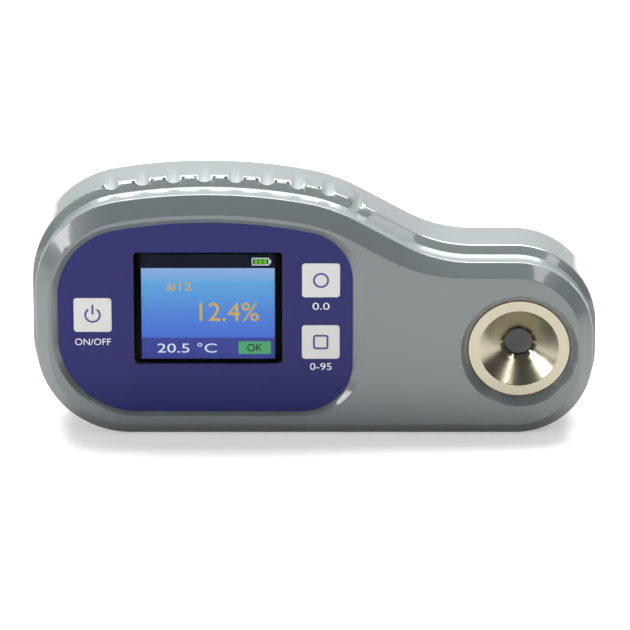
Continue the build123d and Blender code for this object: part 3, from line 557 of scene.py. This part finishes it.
def rounded_box(x, z, width, height, radius, count=8):
    """Points of a rectangle with round corners."""
    points = []
    for turn, side_x, side_z in ((0, 1, 1), (90, -1, 1), (180, -1, -1), (270, 1, -1)):
        corner_x = x + side_x * (width / 2 - radius)
        corner_z = z + side_z * (height / 2 - radius)
        points += circle(corner_x, corner_z, radius, turn, turn + 90, count)
    return points


def add_slab(shape, outline, front, back):
    """A flat plate with this outline, between two depths."""
    near = [shape.verts.new((x, front, z)) for x, z in outline]
    far = [shape.verts.new((x, back, z)) for x, z in outline]
    shape.faces.new(near)
    shape.faces.new(far[::-1])
    for i in range(len(near)):
        j = (i + 1) % len(near)
        shape.faces.new((near[j], near[i], far[i], far[j]))


def add_band(shape, outer, inner, front, back):
    """A flat closed band between two outlines with the same number of points."""
    rings = [
        [shape.verts.new((x, y, z)) for x, z in outline]
        for outline, y in ((outer, front), (inner, front), (inner, back), (outer, back))
    ]
    for first, second in zip(rings, rings[1:] + rings[:1]):
        for i in range(len(first)):
            j = (i + 1) % len(first)
            shape.faces.new((first[i], first[j], second[j], second[i]))


def graphic(name, parts, front, finish, body):
    """Flat graphics of one colour on a face: slabs are one outline, bands are two."""
    shape = bmesh.new()
    for part in parts:
        if len(part) == 2 and isinstance(part[0], list):
            add_band(shape, part[0], part[1], front - INK, front)
        else:
            add_slab(shape, part, front - INK, front)
    bmesh.ops.recalc_face_normals(shape, faces=shape.faces)
    mesh = bpy.data.meshes.new(name)
    shape.to_mesh(mesh)
    shape.free()
    return link_piece(name, mesh, finish, body)


def lettering(name, words, x, z, width, height, front, finish, body):
    """Words or numbers of an exact width and height, centred on a point of a face."""
    curve = bpy.data.curves.new(name, "FONT")
    curve.body = words
    curve.extrude = 0.5
    curve.resolution_u = 6
    holder = bpy.data.objects.new(name + "_curve", curve)
    bpy.context.scene.collection.objects.link(holder)
    mesh = bpy.data.meshes.new_from_object(holder.evaluated_get(bpy.context.evaluated_depsgraph_get()))
    bpy.data.objects.remove(holder)
    across = [v.co.x for v in mesh.vertices]
    up = [v.co.y for v in mesh.vertices]
    scale_x = width / (max(across) - min(across))
    scale_z = height / (max(up) - min(up))
    mid_x, mid_up = (max(across) + min(across)) / 2, (max(up) + min(up)) / 2
    for v in mesh.vertices:
        v.co = (
            x + (v.co.x - mid_x) * scale_x,
            front - INK * (v.co.z + 0.5),
            z + (v.co.y - mid_up) * scale_z,
        )
    shape = bmesh.new()
    shape.from_mesh(mesh)
    bmesh.ops.remove_doubles(shape, verts=shape.verts, dist=0.0005 * MM)
    bmesh.ops.recalc_face_normals(shape, faces=shape.faces)
    shape.to_mesh(mesh)
    shape.free()
    return link_piece(name, mesh, finish, body)


STROKE = 0.42 * MM


def key_middle(name):
    """The middle of a key's pad, as X and Z, and the Y of its front."""
    low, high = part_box(name)
    return (low.x + high.x) / 2, (low.z + high.z) / 2, low.y


def print_keys():
    """Symbols on the three keys, and the plain labels on the film under them."""
    x, z, front = key_middle("power_key")
    radius = 1.75 * MM
    open_ring = circle(x, z, radius, 125, 415) + circle(x, z, radius - STROKE, 125, 415)[::-1]
    bar = rounded_box(x, z + 1.25 * MM, STROKE, 2.3 * MM, STROKE / 2.01)
    graphic("power_symbol", [open_ring, bar], front, ink_navy, "power_key")
    film_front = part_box("overlay_film")[0].y
    lettering("power_label", "ON/OFF", x, z - 6.1 * MM, 7.6 * MM, 1.5 * MM, film_front, ink_pale,
              "case")
    x, z, front = key_middle("zero_key")
    radius = 1.7 * MM
    ring = [circle(x, z, radius), circle(x, z, radius - STROKE)]
    graphic("zero_symbol", [ring], front, ink_navy, "zero_key")
    lettering("zero_label", "0.0", x, z - 5.85 * MM, 3.6 * MM, 1.6 * MM, film_front, ink_pale,
              "case")
    x, z, front = key_middle("read_key")
    side, corner = 3.3 * MM, 0.6 * MM
    inner = side - 2 * STROKE
    box = [rounded_box(x, z, side, side, corner), rounded_box(x, z, inner, inner, corner - STROKE)]
    graphic("read_symbol", [box], front, ink_navy, "read_key")
    lettering("read_label", "0-95", x, z - 5.6 * MM, 4.6 * MM, 1.6 * MM, film_front, ink_pale,
              "case")


def light_figures():
    """What the screen shows: plain numbers, a battery sign and a green box."""
    front = cell_low.y
    left, foot = cell_low.x + LCD_MARGIN, cell_low.z + LCD_MARGIN
    right, top = cell_high.x - LCD_MARGIN, cell_high.z - LCD_MARGIN
    sign_x, sign_z = right - 3.0 * MM, top - 2.0 * MM
    sign_width, sign_height, line = 3.7 * MM, 1.7 * MM, 0.2 * MM
    frame_band = [
        rounded_box(sign_x, sign_z, sign_width, sign_height, 0.25 * MM),
        rounded_box(sign_x, sign_z, sign_width - 2 * line, sign_height - 2 * line, 0.1 * MM),
    ]
    nub = rounded_box(sign_x + sign_width / 2 + 0.2 * MM, sign_z, 0.3 * MM, 0.8 * MM, 0.08 * MM)
    graphic("battery_sign", [frame_band, nub], front, lit_white, "case")
    bars = [
        rounded_box(sign_x + step * 0.95 * MM, sign_z, 0.75 * MM, 1.1 * MM, 0.05 * MM)
        for step in (-1, 0, 1)
    ]
    graphic("battery_bars", bars, front, lit_bright_green, "case")
    lettering("sample_number", "#12", left + 8.0 * MM, foot + 16.0 * MM, 5.4 * MM, 2.1 * MM, front,
              lit_amber, "case")
    lettering("reading", "12.4%", left + 18.6 * MM, foot + 10.3 * MM, 12.6 * MM, 4.2 * MM, front,
              lit_amber, "case")
    lettering("temperature", "20.5 °C", left + 9.6 * MM, foot + 2.1 * MM, 12.6 * MM, 2.2 * MM, front,
              lit_white, "case")
    box_x, box_z = right - 4.3 * MM, foot + 2.15 * MM
    graphic("status_box", [rounded_box(box_x, box_z, 6.9 * MM, 2.9 * MM, 0.12 * MM)], front,
            lit_green, "case")
    lettering("status_word", "OK", box_x, box_z, 3.2 * MM, 1.7 * MM, front - INK, border_black,
              "case")


print_keys()
light_figures()


# Stage and light

def area_light(name, place, target, width, height, power):
    """A rectangular soft box that faces a point."""
    light = bpy.data.lights.new(name, "AREA")
    light.shape, light.size, light.size_y, light.energy = "RECTANGLE", width, height, power
    holder = bpy.data.objects.new(name, light)
    holder.location = place
    holder.rotation_euler = (Vector(target) - Vector(place)).to_track_quat("-Z", "Y").to_euler()
    bpy.context.scene.collection.objects.link(holder)


def white_floor():
    """Seamless white sheet: it takes the object's shadow and shows white to the eye and in gloss."""
    material, tree, coords = new_material("white paper sweep")
    soft = noise(tree, coords, 120 * MM)
    sheet = add(tree, "BsdfPrincipled", {
        "Base Color": blend(tree, soft, "#cacaca", "#cecece"), "Roughness": 0.9,
    })
    seen = add(tree, "LightPath").outputs["Is Camera Ray"]
    glow = add(tree, "Emission", {"Color": (1, 1, 1, 1), "Strength": between(tree, seen, 0.0, 0.4)})
    both = add(tree, "AddShader", {0: sheet.outputs["BSDF"], 1: glow.outputs[0]})
    show(tree, both.outputs[0])
    return material


def build_stage():
    """A floor that reaches far past the view; the world behind it is the white backdrop."""
    mesh = bpy.data.meshes.new("floor")
    reach = 3.0
    mesh.from_pydata([(-reach, -reach, 0), (reach, -reach, 0), (reach, reach, 0), (-reach, reach, 0)],
                     [], [(0, 1, 2, 3)])
    mesh.materials.append(white_floor())
    floor = bpy.data.objects.new("floor", mesh)
    bpy.context.scene.collection.objects.link(floor)


def light_world():
    """White to the eye and through glass; for light and gloss it is white behind and dark in front."""
    world = bpy.data.worlds.new("studio")
    bpy.context.scene.world = world
    world.use_nodes = True
    tree = world.node_tree
    tree.nodes.clear()
    behind = add(tree, "SeparateXYZ", {0: add(tree, "TexCoord").outputs["Generated"]}).outputs["Y"]
    share = add(tree, "MapRange", {"Value": behind, "From Min": -0.15, "From Max": 0.35},
                interpolation_type="SMOOTHSTEP").outputs["Result"]
    room = add(tree, "Background", {"Color": paint("#f9f7f3"), "Strength": between(tree, share, 0.12, 0.8)})
    path = add(tree, "LightPath")
    seen = add(tree, "Math", {
        0: path.outputs["Is Camera Ray"], 1: path.outputs["Is Transmission Ray"],
    }, operation="MAXIMUM").outputs[0]
    white = add(tree, "Background", {"Color": (1, 1, 1, 1), "Strength": 1.0})
    mixed = add(tree, "MixShader", {0: seen, 1: room.outputs[0], 2: white.outputs[0]})
    add(tree, "OutputWorld", {"Surface": mixed.outputs[0]})


build_stage()
light_world()
area_light("overhead box", (0, 0.38, 0.90), (0, 0, 0.03), 1.1, 0.6, 36)
area_light("left box", (-0.78, -0.56, 0.40), (0, 0, 0.03), 0.3, 0.4, 4)
area_light("right box", (0.60, -0.54, 0.80), (0, 0, 0.03), 0.5, 0.2, 2)
area_light("low front strip", (0, -1.1, 0.14), (0, 0, 0), 1.4, 0.2, 1)
place_camera()
bpy.context.scene.view_settings.view_transform = "Standard"
